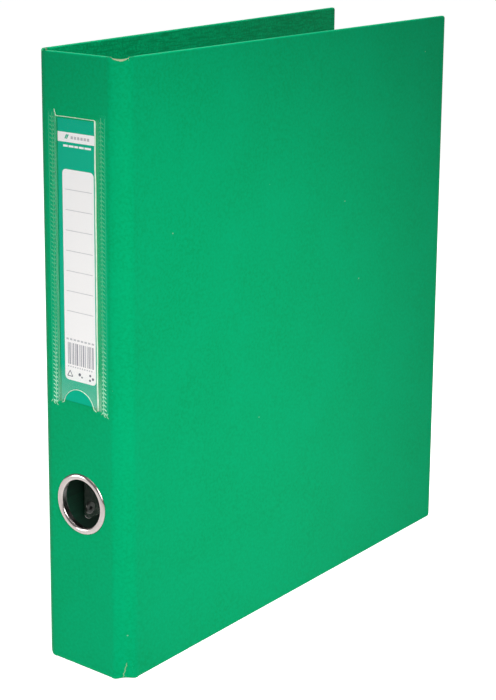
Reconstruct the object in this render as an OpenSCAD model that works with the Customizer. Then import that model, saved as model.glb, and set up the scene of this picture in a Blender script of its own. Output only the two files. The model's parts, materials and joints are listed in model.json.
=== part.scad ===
// Narrow A4 lever arch file, standing upright: spine to -Y, front cover to +X, back cover to -X.
// Millimetres. The origin is at the middle of the footprint, on the surface that the file stands on.

/* [File] */
// Height of the file
file_h = 318; // [314:1:322]
// Width over the spine with both covers parallel
file_w = 57.5; // [55:0.5:60]
// Depth from the spine's face to the fore edge
file_d = 280; // [275:1:295]
// Angle by which each cover of the empty file springs outwards
splay = 2.5; // [0:0.25:4]

/* [Covering] */
// Thickness of the grey board inside each panel
board_t = 2; // [1.8:0.1:2.2]
// Thickness of the outer foil
foil_t = 0.3; // [0.2:0.05:0.4]
// Thickness of the inner lining
lining_t = 0.4; // [0.3:0.05:0.5]
// Width of the foil that is turned in over the board
turn_in = 15; // [10:1:20]
// Length of a hinge strip between its two folds
strip_len = 9; // [8.5:0.25:9.5]
// Thickness of a hinge strip, foil and lining together
strip_t = 0.8; // [0.6:0.1:0.8]
// Depth of the hollow in each end of a hinge strip
strip_notch = 1; // [0.5:0.25:3]
// Radius of the fore-edge corners
corner_r = 2.5; // [1.5:0.5:4]

/* [Spine fittings] */
// Height of the finger hole's centre
ring_z = 89.5; // [80:0.5:92]
// Inner radius of the finger ring
ring_in_r = 12.6; // [11:0.1:13]
// Outer radius of the finger ring's flange
ring_out_r = 16; // [15.5:0.1:16.5]
// Height of the rolled flange above the foil
ring_proud = 1.1; // [0.8:0.1:1.4]
// Width of the label pocket over its welds
pocket_w = 37.8; // [36:0.2:39]
// Height of the label pocket's film
pocket_h = 145; // [140:1:150]
// Height of the pocket's lower end
pocket_z = 142; // [139:1:145]
// Width of each weld
weld_w = 4.2; // [3.8:0.1:4.4]
// Width of the label card
card_w = 24; // [23:0.5:27]
// Height of the label card
card_h = 143; // [137:1:144]
// Width of the thumb cut in the film
thumb_w = 20; // [16:1:22]
// Height of the thumb cut
thumb_h = 8; // [6:0.5:9]

/* [Mechanism] */
// Distance between the two filing rings
ring_pitch = 80; // [80:0.5:80]
// Distance from the back cover's fold to the arch's axis
arch_y = 27; // [26.5:0.25:27.5]
// Distance from the arch's axis to the filing posts
arch_span = 30; // [29.5:0.25:30.5]
// Diameter of the arch wire
wire_d = 4; // [3.9:0.05:4]
// Height of a filing post above the lining
post_top = 20; // [19:0.5:20]
// Length of the lever from its pin to its tip
lever_len = 38; // [35:0.5:38]
// Length of the base plate
plate_len = 192; // [188:1:196]

/* [Hidden] */
$fn = 64;
eps = 1;

// Panels: distances from a fold's axis, which runs in the middle of the hinge strip
half_strip = strip_t / 2;
outer_x = -half_strip;
board_x = outer_x + foil_t;
lining_x = board_x + board_t;
inner_x = lining_x + lining_t;
fold_gap = half_strip + 0.05;
board_gap = 1;
closed_leg = strip_len * sin(45);
spine_w = file_w - strip_t - 2 * closed_leg;
cover_len = file_d - half_strip - closed_leg;
strip_turn = 45 + splay / 2;
leg_x = strip_len * sin(strip_turn);
leg_y = strip_len * cos(strip_turn);
rest_depth = half_strip + leg_y + cover_len * cos(splay) + inner_x * sin(splay);
face_y = (ring_proud - rest_depth) / 2;
fold_y = face_y + half_strip;
notch_half = strip_len / 2 + 1;
notch_r = (pow(notch_half, 2) + pow(strip_notch, 2)) / (2 * strip_notch);

// Spine fittings
hole_r = ring_in_r + 0.9;
neck_r = ring_in_r + 0.8;
panel_t = foil_t + board_t + lining_t;
backing_t = 0.6;
film_t = 0.25;
film_lift = 0.6;
card_t = 0.25;
card_back = 0.2;
weld_t = 0.3;
card_z = pocket_z + 1;
thumb_r = (pow(thumb_w / 2, 2) + pow(thumb_h, 2)) / (2 * thumb_h);

// Mechanism: x is the height above the lining, y the distance from the back cover's fold
mid_z = file_h / 2;
wire_r = wire_d / 2;
plate_t = 0.9;
axis_h = 4;
crank_r = 12;
crank_z = 12;
bend_r = 3;
post_y = arch_y + arch_span;
post_r = 2.2;
arc_h = post_top + 2;
pin_h = 9.3;
pin_y = arch_y + 20;
pin_r = 1.5;
roller_y = pin_y - 9;
roller_r = 3;
roller_pin_r = 1.25;
lever_half = 8;
lever_t = 1;
roof_h = 3.5;
handle_half = 11;
handle_from = 21;
ear_t = 1;
ear_r = 4;
plate_half = 52;
plate_y0 = arch_y - 8;
plate_y1 = post_y + 8;
wing_y0 = arch_y - 3;
wing_y1 = arch_y + 25;
rivet_z = plate_len / 2 - 6;
rivet_ys = [wing_y0 + 4.5, wing_y1 - 4.5];
rivet_r = 2;
press_w = 9.6;
press_half = 54;
press_bottom = 2.3;
press_top = 6;
press_t = 0.8;
catch_travel = 3;

green = [0, 0.64, 0.42];
dark_green = [0, 0.42, 0.27];
nickel = [0.75, 0.76, 0.78];

// ---------- helpers ----------

// Puts a back-cover part in place: x points into the file, y along the cover.
module at_back_cover() {
    translate([-spine_w / 2 - leg_x, fold_y + leg_y, 0]) rotate([0, 0, splay]) children();
}

// Puts a hinge strip in place: y runs from the spine's fold to the cover's fold.
module at_back_strip() {
    translate([-spine_w / 2, fold_y, 0]) rotate([0, 0, strip_turn]) children();
}

// Puts a mechanism part in place on the lining, level with the middle of the file.
module at_mechanism() {
    at_back_cover() translate([inner_x, 0, mid_z]) children();
}

// A sheet of thickness t from x = x0, whose outline is drawn in (y, z).
module sheet(x0, t) {
    translate([x0, 0, 0]) rotate([90, 0, 90]) linear_extrude(t) children();
}

// A cylinder along x.
module x_cyl(x0, x1, r) {
    translate([x0, 0, 0]) rotate([0, 90, 0]) cylinder(r = r, h = x1 - x0);
}

// A round rod from p to q.
module rod(p, q, r) {
    d = q - p;
    translate(p) rotate([0, acos(d[2] / norm(d)), atan2(d[1], d[0])]) cylinder(r = r, h = norm(d));
}

// A rectangle from (a0, b0) to (a1, b1) with round corners.
module round_rect(a0, b0, a1, b1, r) {
    translate([a0 + r, b0]) square([a1 - a0 - 2 * r, b1 - b0]);
    translate([a0, b0 + r]) square([a1 - a0, b1 - b0 - 2 * r]);
    for (a = [a0 + r, a1 - r], b = [b0 + r, b1 - r]) translate([a, b]) circle(r);
}

// A cover's outline from y0 to its fore edge, drawn in by inset at the top, bottom and fore edge.
module cover_outline(y0, inset) {
    r = corner_r - inset;
    y1 = cover_len - inset;
    h = file_h - 2 * inset;
    translate([y0, inset]) {
        square([y1 - y0 - r, h]);
        translate([0, r]) square([y1 - y0, h - 2 * r]);
        for (z = [r, h - r]) translate([y1 - y0 - r, z]) circle(r);
    }
}

// ---------- covers ----------

module rivet_holes() {
    for (y = rivet_ys, z = [-rivet_z, rivet_z])
        translate([0, y, mid_z + z]) x_cyl(outer_x - eps, inner_x + eps, rivet_r + 0.05);
}

module cover_foil() {
    difference() {
        sheet(outer_x, 2 * foil_t + board_t) cover_outline(fold_gap, 0);
        sheet(board_x, board_t) cover_outline(0, foil_t);
        sheet(board_x, board_t + foil_t + eps)
            translate([0, turn_in]) square([cover_len - turn_in, file_h - 2 * turn_in]);
    }
}

module cover_board() {
    sheet(board_x, board_t) cover_outline(board_gap, foil_t);
}

module cover_lining() {
    sheet(lining_x, lining_t)
        translate([board_gap, turn_in]) square([cover_len - turn_in - board_gap, file_h - 2 * turn_in]);
}

module back_foil() {
    color(green) at_back_cover() difference() {
        cover_foil();
        rivet_holes();
    }
}

module back_board() {
    color("tan") at_back_cover() difference() {
        cover_board();
        rivet_holes();
    }
}

module back_lining() {
    color(dark_green) at_back_cover() difference() {
        cover_lining();
        rivet_holes();
    }
}

module front_foil() {
    color(green) mirror([1, 0, 0]) at_back_cover() cover_foil();
}

module front_board() {
    color("tan") mirror([1, 0, 0]) at_back_cover() cover_board();
}

module front_lining() {
    color(dark_green) mirror([1, 0, 0]) at_back_cover() cover_lining();
}

// ---------- hinge strips ----------

// A flexible strip with a rounded bead on each fold and a hollow in each end.
module hinge_strip() {
    end = strip_notch / 2;
    difference() {
        union() {
            sheet(-half_strip, strip_t) square([strip_len, file_h]);
            for (y = [0, strip_len]) translate([0, y, end]) cylinder(r = half_strip, h = file_h - 2 * end);
        }
        for (z = [strip_notch - notch_r, file_h - strip_notch + notch_r])
            translate([0, strip_len / 2, z]) x_cyl(-eps, eps, notch_r);
    }
}

module back_hinge_strip() {
    color(green) at_back_strip() hinge_strip();
}

module front_hinge_strip() {
    color(green) mirror([1, 0, 0]) at_back_strip() hinge_strip();
}

// ---------- spine ----------

// A block of the spine panel: half width, distance from the face, thickness, height inset.
module spine_block(half, y0, t, inset) {
    translate([-half, face_y + y0, inset]) cube([2 * half, t, file_h - 2 * inset]);
}

module finger_hole() {
    translate([0, face_y - eps, ring_z]) rotate([-90, 0, 0]) cylinder(r = hole_r, h = panel_t + 2 * eps);
}

module spine_foil() {
    half = spine_w / 2 - fold_gap;
    color(green) difference() {
        spine_block(half, 0, 2 * foil_t + board_t, 0);
        spine_block(half + eps, foil_t, board_t, foil_t);
        spine_block(half + eps, foil_t, board_t + foil_t + eps, turn_in);
        finger_hole();
    }
}

module spine_board() {
    color("tan") difference() {
        spine_block(spine_w / 2 - board_gap, foil_t, board_t, foil_t);
        finger_hole();
    }
}

module spine_lining() {
    color(dark_green) difference() {
        spine_block(spine_w / 2 - board_gap, foil_t + board_t, lining_t, turn_in);
        finger_hole();
    }
}

// Turns a ring profile, drawn as (radius, height above the foil), about the finger hole's axis.
module at_finger_hole() {
    translate([0, face_y, ring_z]) rotate([90, 0, 0]) rotate_extrude($fn = 96) children();
}

module finger_ring() {
    flange_w = (ring_out_r - ring_in_r) / 2;
    bead_r = (pow(flange_w, 2) + pow(ring_proud, 2)) / (2 * ring_proud);
    neck_l = panel_t + backing_t;
    color(nickel) at_finger_hole() {
        intersection() {
            translate([ring_in_r + flange_w, ring_proud - bead_r]) circle(bead_r);
            translate([ring_in_r, 0]) square([2 * flange_w, ring_proud]);
        }
        translate([ring_in_r, -neck_l - 0.5]) square([neck_r - ring_in_r, neck_l + 0.6]);
        translate([ring_in_r, -neck_l - 0.5]) square([2.2, 0.5]);
    }
}

module finger_ring_backing() {
    color(nickel) at_finger_hole() translate([hole_r, -panel_t - backing_t]) square([3.4, backing_t]);
}

// ---------- label ----------

module label_pocket() {
    half = pocket_w / 2;
    weld_in = half - weld_w;
    bow_in = weld_in - 0.5;
    top = film_lift + film_t;
    color([0.8, 0.95, 0.9, 0.5]) difference() {
        translate([0, face_y, pocket_z]) linear_extrude(pocket_h) polygon([
            [-half, 0], [-half, -weld_t], [-weld_in, -weld_t], [-bow_in, -top],
            [bow_in, -top], [weld_in, -weld_t], [half, -weld_t], [half, 0],
            [weld_in - 0.1, 0], [bow_in - 0.1, -film_lift], [0.1 - bow_in, -film_lift], [0.1 - weld_in, 0]]);
        translate([0, face_y + eps, pocket_z + thumb_h - thumb_r])
            rotate([90, 0, 0]) cylinder(r = thumb_r, h = 3 * eps);
    }
}

module label_card() {
    color([0, 0.6, 0.5]) translate([-card_w / 2, face_y - card_back - card_t, card_z]) cube([card_w, card_t, card_h]);
}

// ---------- mechanism ----------

module post_holes() {
    for (z = [-1, 1]) translate([0, post_y, z * ring_pitch / 2]) x_cyl(-eps, plate_t + eps, post_r);
}

module bearing(z) {
    loop_r = wire_r + 1.1;
    translate([axis_h, arch_y, z - 4]) difference() {
        union() {
            cylinder(r = loop_r, h = 8);
            translate([-axis_h + plate_t / 2, -loop_r, 0]) cube([axis_h - plate_t / 2, 2 * loop_r, 8]);
        }
        translate([0, 0, -eps]) cylinder(r = wire_r + 0.05, h = 8 + 2 * eps);
    }
}

module ear(z) {
    translate([pin_h, pin_y, z]) difference() {
        union() {
            cylinder(r = ear_r, h = ear_t);
            translate([-pin_h + plate_t / 2, -ear_r, 0]) cube([pin_h - plate_t / 2, 2 * ear_r, ear_t]);
        }
        translate([0, 0, -eps]) cylinder(r = pin_r, h = ear_t + 2 * eps);
    }
}

module base_plate() {
    rib_y = (wing_y0 + wing_y1) / 2;
    color(nickel) at_mechanism() {
        difference() {
            sheet(0, plate_t) {
                round_rect(plate_y0, -plate_half, plate_y1, plate_half, 5);
                round_rect(wing_y0, -plate_len / 2, wing_y1, plate_len / 2, 5);
            }
            post_holes();
            for (y = rivet_ys, z = [-rivet_z, rivet_z])
                translate([0, y, z]) x_cyl(-eps, plate_t + eps, rivet_r + 0.05);
        }
        for (z = [-1, 1]) translate([plate_t, rib_y, z * (plate_half + plate_len / 2) / 2])
            translate([-0.1, -1.5, -19]) cube([0.8, 3, 38]);
        for (z = [-28, 28]) bearing(z);
        for (z = [lever_half + 0.3, -lever_half - 0.3 - ear_t]) ear(z);
    }
}

// A quarter bend at corner p, between a length along z (up if s is 1) and one across z at angle az.
module bend(p, az, s) {
    translate(p) rotate([90, 0, az]) translate([bend_r, s * bend_r, 0])
        rotate([0, 0, s > 0 ? 180 : 90]) rotate_extrude(angle = 90) translate([bend_r, 0]) circle(wire_r);
}

// One half of the arch wire: filing arch, pivot and crank arm. The other half is its mirror image.
module half_arch(s) {
    foot = [axis_h, arch_y, s * ring_pitch / 2];
    knee = [axis_h, arch_y, s * crank_z];
    crank = knee + [0, crank_r, 0];
    along_z = [0, 0, s * bend_r];
    rod(foot + [bend_r, 0, 0], foot + [arc_h - axis_h, 0, 0], wire_r);
    bend(foot, 0, -s);
    rod(foot - along_z, knee + along_z, wire_r);
    bend(knee, 90, s);
    rod(knee + [0, bend_r, 0], crank - [0, bend_r, 0], wire_r);
    bend(crank, 270, -s);
    translate(foot + [arc_h - axis_h, arch_span / 2, 0]) rotate([0, 0, -90])
        rotate_extrude(angle = 180) translate([arch_span / 2, 0]) circle(wire_r);
    rod([post_top + 0.3, post_y, foot[2]], [arc_h, post_y, foot[2]], wire_r);
}

module arch_wire() {
    color(nickel) at_mechanism() {
        for (s = [-1, 1]) half_arch(s);
        translate([axis_h, arch_y + crank_r, bend_r - crank_z]) cylinder(r = wire_r, h = 2 * (crank_z - bend_r));
    }
}

// A hollow-topped filing post with a collar on the base plate.
module filing_post(s) {
    color(nickel) at_mechanism() translate([0, post_y, s * ring_pitch / 2]) difference() {
        union() {
            x_cyl(0, post_top, post_r);
            x_cyl(plate_t, plate_t + 0.9, post_r + 1.2);
        }
        translate([post_top - 3, 0, 0]) rotate([0, 90, 0]) cylinder(r1 = 0.2, r2 = 1.5, h = 3.01);
    }
}

module lower_post() {
    filing_post(-1);
}

module upper_post() {
    filing_post(1);
}

// Puts a lever part in place: x points away from the base plate, -y from the pin to the tip.
module at_lever() {
    at_mechanism() translate([pin_h, pin_y, 0]) children();
}

module lever_flange(z) {
    translate([0, 0, z]) linear_extrude(lever_t) {
        circle(roof_h);
        polygon([[-2.6, 0], [-2.6, -13], [0.5, -19], [roof_h, -handle_from], [roof_h, 0]]);
    }
}

module lever() {
    roller_off = roller_y - pin_y;
    color(nickel) at_lever() {
        difference() {
            for (z = [-lever_half, lever_half - lever_t]) lever_flange(z);
            translate([0, 0, -lever_half - eps]) cylinder(r = pin_r + 0.05, h = 2 * lever_half + 2 * eps);
            translate([0, roller_off, -lever_half - eps])
                cylinder(r = roller_pin_r, h = 2 * lever_half + 2 * eps);
        }
        translate([roof_h - 0.1, -handle_from, -lever_half]) cube([lever_t + 0.1, handle_from, 2 * lever_half]);
        sheet(roof_h, lever_t)
            round_rect(-lever_len, -handle_half, 3 - handle_from, handle_half, 5);
        translate([roof_h + lever_t / 2, 1.3 - lever_len, -handle_half + 4.5])
            cylinder(r = 1.3, h = 2 * (handle_half - 4.5));
    }
}

// A pin along z with a head at each end, of shank radius r and head radius r_head.
module headed_pin(r, r_head, half, head_t) {
    translate([0, 0, -half]) cylinder(r = r, h = 2 * half);
    for (z = [-half - head_t, half]) translate([0, 0, z]) cylinder(r = r_head, h = head_t);
}

module lever_pin() {
    color(nickel) at_lever() headed_pin(pin_r, pin_r + 1, lever_half + 0.3 + ear_t, 0.8);
}

module roller_pin() {
    color(nickel) at_lever() translate([0, roller_y - pin_y, 0])
        headed_pin(roller_pin_r, roller_pin_r, lever_half, 0.2);
}

module roller() {
    half = lever_half - lever_t - 0.3;
    color("dimgray") at_lever() translate([0, roller_y - pin_y, -half]) difference() {
        cylinder(r = roller_r, h = 2 * half);
        translate([0, 0, -eps]) cylinder(r = roller_pin_r + 0.05, h = 2 * half + 2 * eps);
    }
}

module mechanism_rivets() {
    top = inner_x + plate_t;
    color(nickel) at_back_cover() for (y = rivet_ys, z = [-rivet_z, rivet_z])
        translate([0, y, mid_z + z]) difference() {
            union() {
                x_cyl(outer_x - 0.9, outer_x, 4.5);
                x_cyl(outer_x - 0.1, top + 0.1, rivet_r);
                x_cyl(top, top + 0.7, 3.2);
            }
            x_cyl(outer_x + 0.5, top + 1, 1.2);
        }
}

module compressor_bar() {
    half = press_w / 2;
    color(nickel) at_mechanism() translate([0, post_y, 0]) difference() {
        union() {
            translate([press_top - press_t, -half, -press_half]) cube([press_t, press_w, 2 * press_half]);
            for (y = [-half, half - press_t])
                translate([press_bottom, y, -press_half]) cube([press_top - press_bottom, press_t, 2 * press_half]);
        }
        for (z = [-1, 1]) translate([0, 0, z * ring_pitch / 2]) x_cyl(press_bottom, press_top + eps, post_r + 0.06);
    }
}

module compressor_catch() {
    base = press_top + 0.3;
    slot_r = post_r + 0.1;
    post_z = -ring_pitch / 2;
    color("dimgray") at_mechanism() translate([0, post_y, 0]) difference() {
        union() {
            sheet(base, 1.2) round_rect(-4, post_z - 8, 4, post_z + 12, 2);
            for (z = [6, 8.5, 11]) translate([base + 1.1, -3.2, post_z + z - 1]) cube([1.3, 6.4, 1.2]);
        }
        for (z = [post_z, post_z - catch_travel]) translate([0, 0, z]) x_cyl(base - eps, base + 4, slot_r);
        translate([base - eps, -slot_r, post_z - catch_travel]) cube([4, 2 * slot_r, catch_travel]);
    }
}

spine_board();
spine_foil();
spine_lining();
front_board();
front_foil();
front_lining();
back_board();
back_foil();
back_lining();
front_hinge_strip();
back_hinge_strip();
finger_ring();
finger_ring_backing();
label_pocket();
label_card();
base_plate();
arch_wire();
lower_post();
upper_post();
lever();
lever_pin();
roller();
roller_pin();
mechanism_rivets();
compressor_bar();
compressor_catch();
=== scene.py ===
"""Looks of a narrow upright lever arch file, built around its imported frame.

Lengths inside the classes are millimetres in each panel's own frame: x runs through the sheet towards
the inside of the file, y along the sheet and z up. A Place turns them into metres in the file's frame.
"""
import json
import logging
import math
from collections.abc import Callable, Sequence
from dataclasses import dataclass
from enum import Enum

import bmesh
import bpy
from mathutils import Matrix, Vector


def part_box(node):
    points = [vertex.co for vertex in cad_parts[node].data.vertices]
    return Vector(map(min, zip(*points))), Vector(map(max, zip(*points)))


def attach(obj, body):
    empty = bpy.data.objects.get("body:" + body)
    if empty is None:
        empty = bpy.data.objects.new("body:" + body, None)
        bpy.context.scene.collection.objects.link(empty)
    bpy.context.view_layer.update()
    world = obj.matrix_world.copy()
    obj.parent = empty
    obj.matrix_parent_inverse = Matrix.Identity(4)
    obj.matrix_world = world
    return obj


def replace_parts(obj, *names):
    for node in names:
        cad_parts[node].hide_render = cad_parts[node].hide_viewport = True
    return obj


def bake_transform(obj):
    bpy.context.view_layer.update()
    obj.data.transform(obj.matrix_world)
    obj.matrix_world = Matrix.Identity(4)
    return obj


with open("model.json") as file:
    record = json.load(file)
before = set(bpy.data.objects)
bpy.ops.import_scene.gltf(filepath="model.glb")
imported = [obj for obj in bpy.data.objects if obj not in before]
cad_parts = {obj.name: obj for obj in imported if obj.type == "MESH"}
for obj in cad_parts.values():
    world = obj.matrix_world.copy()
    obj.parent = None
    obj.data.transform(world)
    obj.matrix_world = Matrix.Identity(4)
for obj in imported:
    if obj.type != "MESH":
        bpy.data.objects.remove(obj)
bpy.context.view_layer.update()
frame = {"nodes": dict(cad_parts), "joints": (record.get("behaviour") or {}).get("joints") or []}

MM = 0.001
REST = "rest"
ACROSS_ZERO = 0.05
log = logging.getLogger("lever_arch_file")

Point = tuple[float, float, float]
Flat = tuple[float, float]
Colour = tuple[float, float, float]
Inputs = dict[str | int, object]
Surface = tuple[list[Vector], list[list[int]]]
Piece = bpy.types.Object
Socket = bpy.types.NodeSocket


# ---------------------------------------------------------------- places

@dataclass(frozen=True)
class Place:
    """A panel's own frame inside the file.

    Args:
        origin: Where the local origin lies, in metres.
        x_axis: Unit vector through the sheet, towards the inside.
        y_axis: Unit vector along the sheet.
    """

    origin: Vector
    x_axis: Vector
    y_axis: Vector

    def point(self, x: float, y: float, z: float) -> Vector:
        """Return the point (x, y, z), given in millimetres, in metres in the file's frame."""
        return self.origin + MM * (x * self.x_axis + y * self.y_axis + Vector((0, 0, z)))

    def matrix(self) -> Matrix:
        """Return the matrix that takes local metres to the file's frame."""
        columns = (self.x_axis, self.y_axis, Vector((0, 0, 1)))
        turned = Matrix([[axis[row] for axis in columns] for row in range(3)])
        return Matrix.Translation(self.origin) @ turned.to_4x4()

    def raised(self, x: float, y: float, z: float) -> "Place":
        """Return the same frame with its origin moved to the local point (x, y, z)."""
        return Place(self.point(x, y, z), self.x_axis, self.y_axis)


@dataclass(frozen=True)
class Sheets:
    """Thicknesses of the covering and how it lies on the boards, in millimetres."""

    half_strip: float = 0.4
    foil: float = 0.3
    board: float = 2.0
    turn_in: float = 19.0
    seam: float = 2.7
    bend: float = 1.4
    edge_round: float = 0.85
    corner: float = 1.7

    @property
    def outer(self) -> float:
        """Outer face of the foil."""
        return -self.half_strip

    @property
    def turned(self) -> float:
        """Inner face of the foil that is turned in."""
        return self.outer + 2 * self.foil + self.board

    @property
    def lining(self) -> float:
        """Inner face of the lining."""
        return self.turned + 0.1


class Side(Enum):
    """The two covers, with the sign of their x position."""

    FRONT = 1
    BACK = -1

    @property
    def word(self) -> str:
        """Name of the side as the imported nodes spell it."""
        return self.name.lower()


class Layout:
    """Where the panels and folds lie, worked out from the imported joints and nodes."""

    def __init__(self, sheets: Sheets) -> None:
        """Read the folds from the joints and the sizes from the nodes' boxes."""
        at = {j["name"]: Vector(j["pos_m"]) for j in frame["joints"] if j["type"] == "hinge"}
        self.sheets = sheets
        self.inner_fold = {Side.BACK: at["spine_fold"], Side.FRONT: at["front_strip_fold"]}
        self.outer_fold = {Side.BACK: at["back_strip_fold"], Side.FRONT: at["front_cover_fold"]}
        step = self.outer_fold[Side.FRONT] - self.inner_fold[Side.FRONT]
        self.turn = math.atan2(step.x, step.y)
        self.splay = 2 * self.turn - math.pi / 2
        self.strip = math.hypot(step.x, step.y) / MM
        low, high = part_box("front_foil")
        self.height = high.z / MM
        reach = high.y - self.outer_fold[Side.FRONT].y - sheets.turned * MM * math.sin(self.splay)
        self.cover = reach / math.cos(self.splay) / MM
        face_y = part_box("spine_foil")[0].y
        self.face = Place(Vector((0, face_y, 0)), Vector((0, -1, 0)), Vector((1, 0, 0)))
        self.half_spine = self.inner_fold[Side.FRONT].x / MM

    def cover_place(self, side: Side) -> Place:
        """Return a cover's frame, with y from its fold to the fore edge."""
        sign, fold = side.value, self.outer_fold[side]
        across = Vector((-sign * math.cos(self.splay), math.sin(self.splay), 0))
        along = Vector((sign * math.sin(self.splay), math.cos(self.splay), 0))
        return Place(Vector((fold.x, fold.y, 0)), across, along)

    def spine_place(self) -> Place:
        """Return the spine's frame, with y towards the front cover and x = 0 level with its folds."""
        fold = self.inner_fold[Side.FRONT]
        return Place(Vector((0, fold.y, 0)), Vector((0, 1, 0)), Vector((1, 0, 0)))


# ---------------------------------------------------------------- node trees

class Nodes:
    """Short-hand for building a node tree."""

    def __init__(self, tree: bpy.types.NodeTree) -> None:
        """Keep the tree that nodes are added to."""
        self.tree = tree

    def feed(self, node: bpy.types.Node, inputs: Inputs) -> bpy.types.Node:
        """Link or set a node's inputs, by name or number, and return the node."""
        for key, value in inputs.items():
            socket = node.inputs[key]
            if isinstance(value, Socket):
                self.tree.links.new(value, socket)
            elif socket.type == "RGBA" and len(value) == 3:
                socket.default_value = (*value, 1.0)
            else:
                socket.default_value = value
        return node

    def add(self, kind: str, inputs: Inputs | None = None, **settings: object) -> bpy.types.Node:
        """Add a node.

        Args:
            kind: The node's type name.
            inputs: Values or sockets for its inputs, by name or number.
            **settings: Attributes set on the node itself.

        Returns:
            The new node.
        """
        node = self.tree.nodes.new(kind)
        for name, value in settings.items():
            setattr(node, name, value)
        return self.feed(node, inputs or {})

    def first(self, kind: str, inputs: Inputs | None = None, **settings: object) -> Socket:
        """Add a node and return its first output."""
        return self.add(kind, inputs, **settings).outputs[0]

    def math(self, operation: str, a: object, b: object = 0.0, clamp: bool = False) -> Socket:
        """Add a Math node and return its output."""
        return self.first("ShaderNodeMath", {0: a, 1: b}, operation=operation, use_clamp=clamp)

    def vector(self, **parts: object) -> Socket:
        """Join X, Y and Z, those given, into a vector."""
        return self.first("ShaderNodeCombineXYZ", parts)

    def mix(self, factor: object, a: object, b: object) -> Socket:
        """Mix two colours and return the result."""
        return self.add("ShaderNodeMix", {"Factor": factor, 6: a, 7: b}, data_type="RGBA").outputs[2]

    def span(self, value: object, low: float, high: float, to_low: float = 0.0,
             to_high: float = 1.0) -> Socket:
        """Map value from low..high to to_low..to_high, clamped, and return the result."""
        inputs = {"Value": value, "From Min": low, "From Max": high, "To Min": to_low, "To Max": to_high}
        return self.first("ShaderNodeMapRange", inputs, clamp=True)

    def attribute(self, name: str, output: str = "Fac") -> Socket:
        """Return a value that the mesh carries."""
        return self.add("ShaderNodeAttribute", attribute_name=name).outputs[output]

    def coords(self) -> Socket:
        """Return the piece's own object coordinates."""
        return self.add("ShaderNodeTexCoord").outputs["Object"]

    def up(self, where: Socket) -> Socket:
        """Return the height in a position."""
        return self.add("ShaderNodeSeparateXYZ", {"Vector": where}).outputs["Z"]

    def drawn(self, where: Socket, scale: Point) -> Socket:
        """Return a position stretched along each axis."""
        return self.first("ShaderNodeMapping", {"Vector": where, "Scale": scale})

    def noise(self, where: Socket, size: float, detail: float = 2.0, rough: float = 0.5) -> Socket:
        """Return a noise value whose features are about size millimetres."""
        inputs = {"Vector": where, "Scale": 1 / (size * MM), "Detail": detail, "Roughness": rough}
        return self.first("ShaderNodeTexNoise", inputs)

    def bump(self, height: object, depth: float, strength: float) -> Socket:
        """Return a normal bent by a height, depth millimetres deep at full value."""
        return self.first("ShaderNodeBump", {"Height": height, "Distance": depth * MM, "Strength": strength})


class Finish:
    """Base of the finishes: makes one procedural material and keeps it."""

    name: str = "finish"

    def material(self) -> bpy.types.Material:
        """Return the material, making it on first use."""
        found = bpy.data.materials.get(self.name)
        if found:
            return found
        made = bpy.data.materials.new(self.name)
        made.use_nodes = True
        made.node_tree.nodes.clear()
        nodes = Nodes(made.node_tree)
        shader = nodes.add("ShaderNodeBsdfPrincipled")
        nodes.add("ShaderNodeOutputMaterial", {"Surface": shader.outputs[0]})
        nodes.feed(shader, self.inputs(nodes))
        return made

    def inputs(self, nodes: Nodes) -> Inputs:
        """Return what goes into the shader's inputs."""
        raise NotImplementedError


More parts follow.
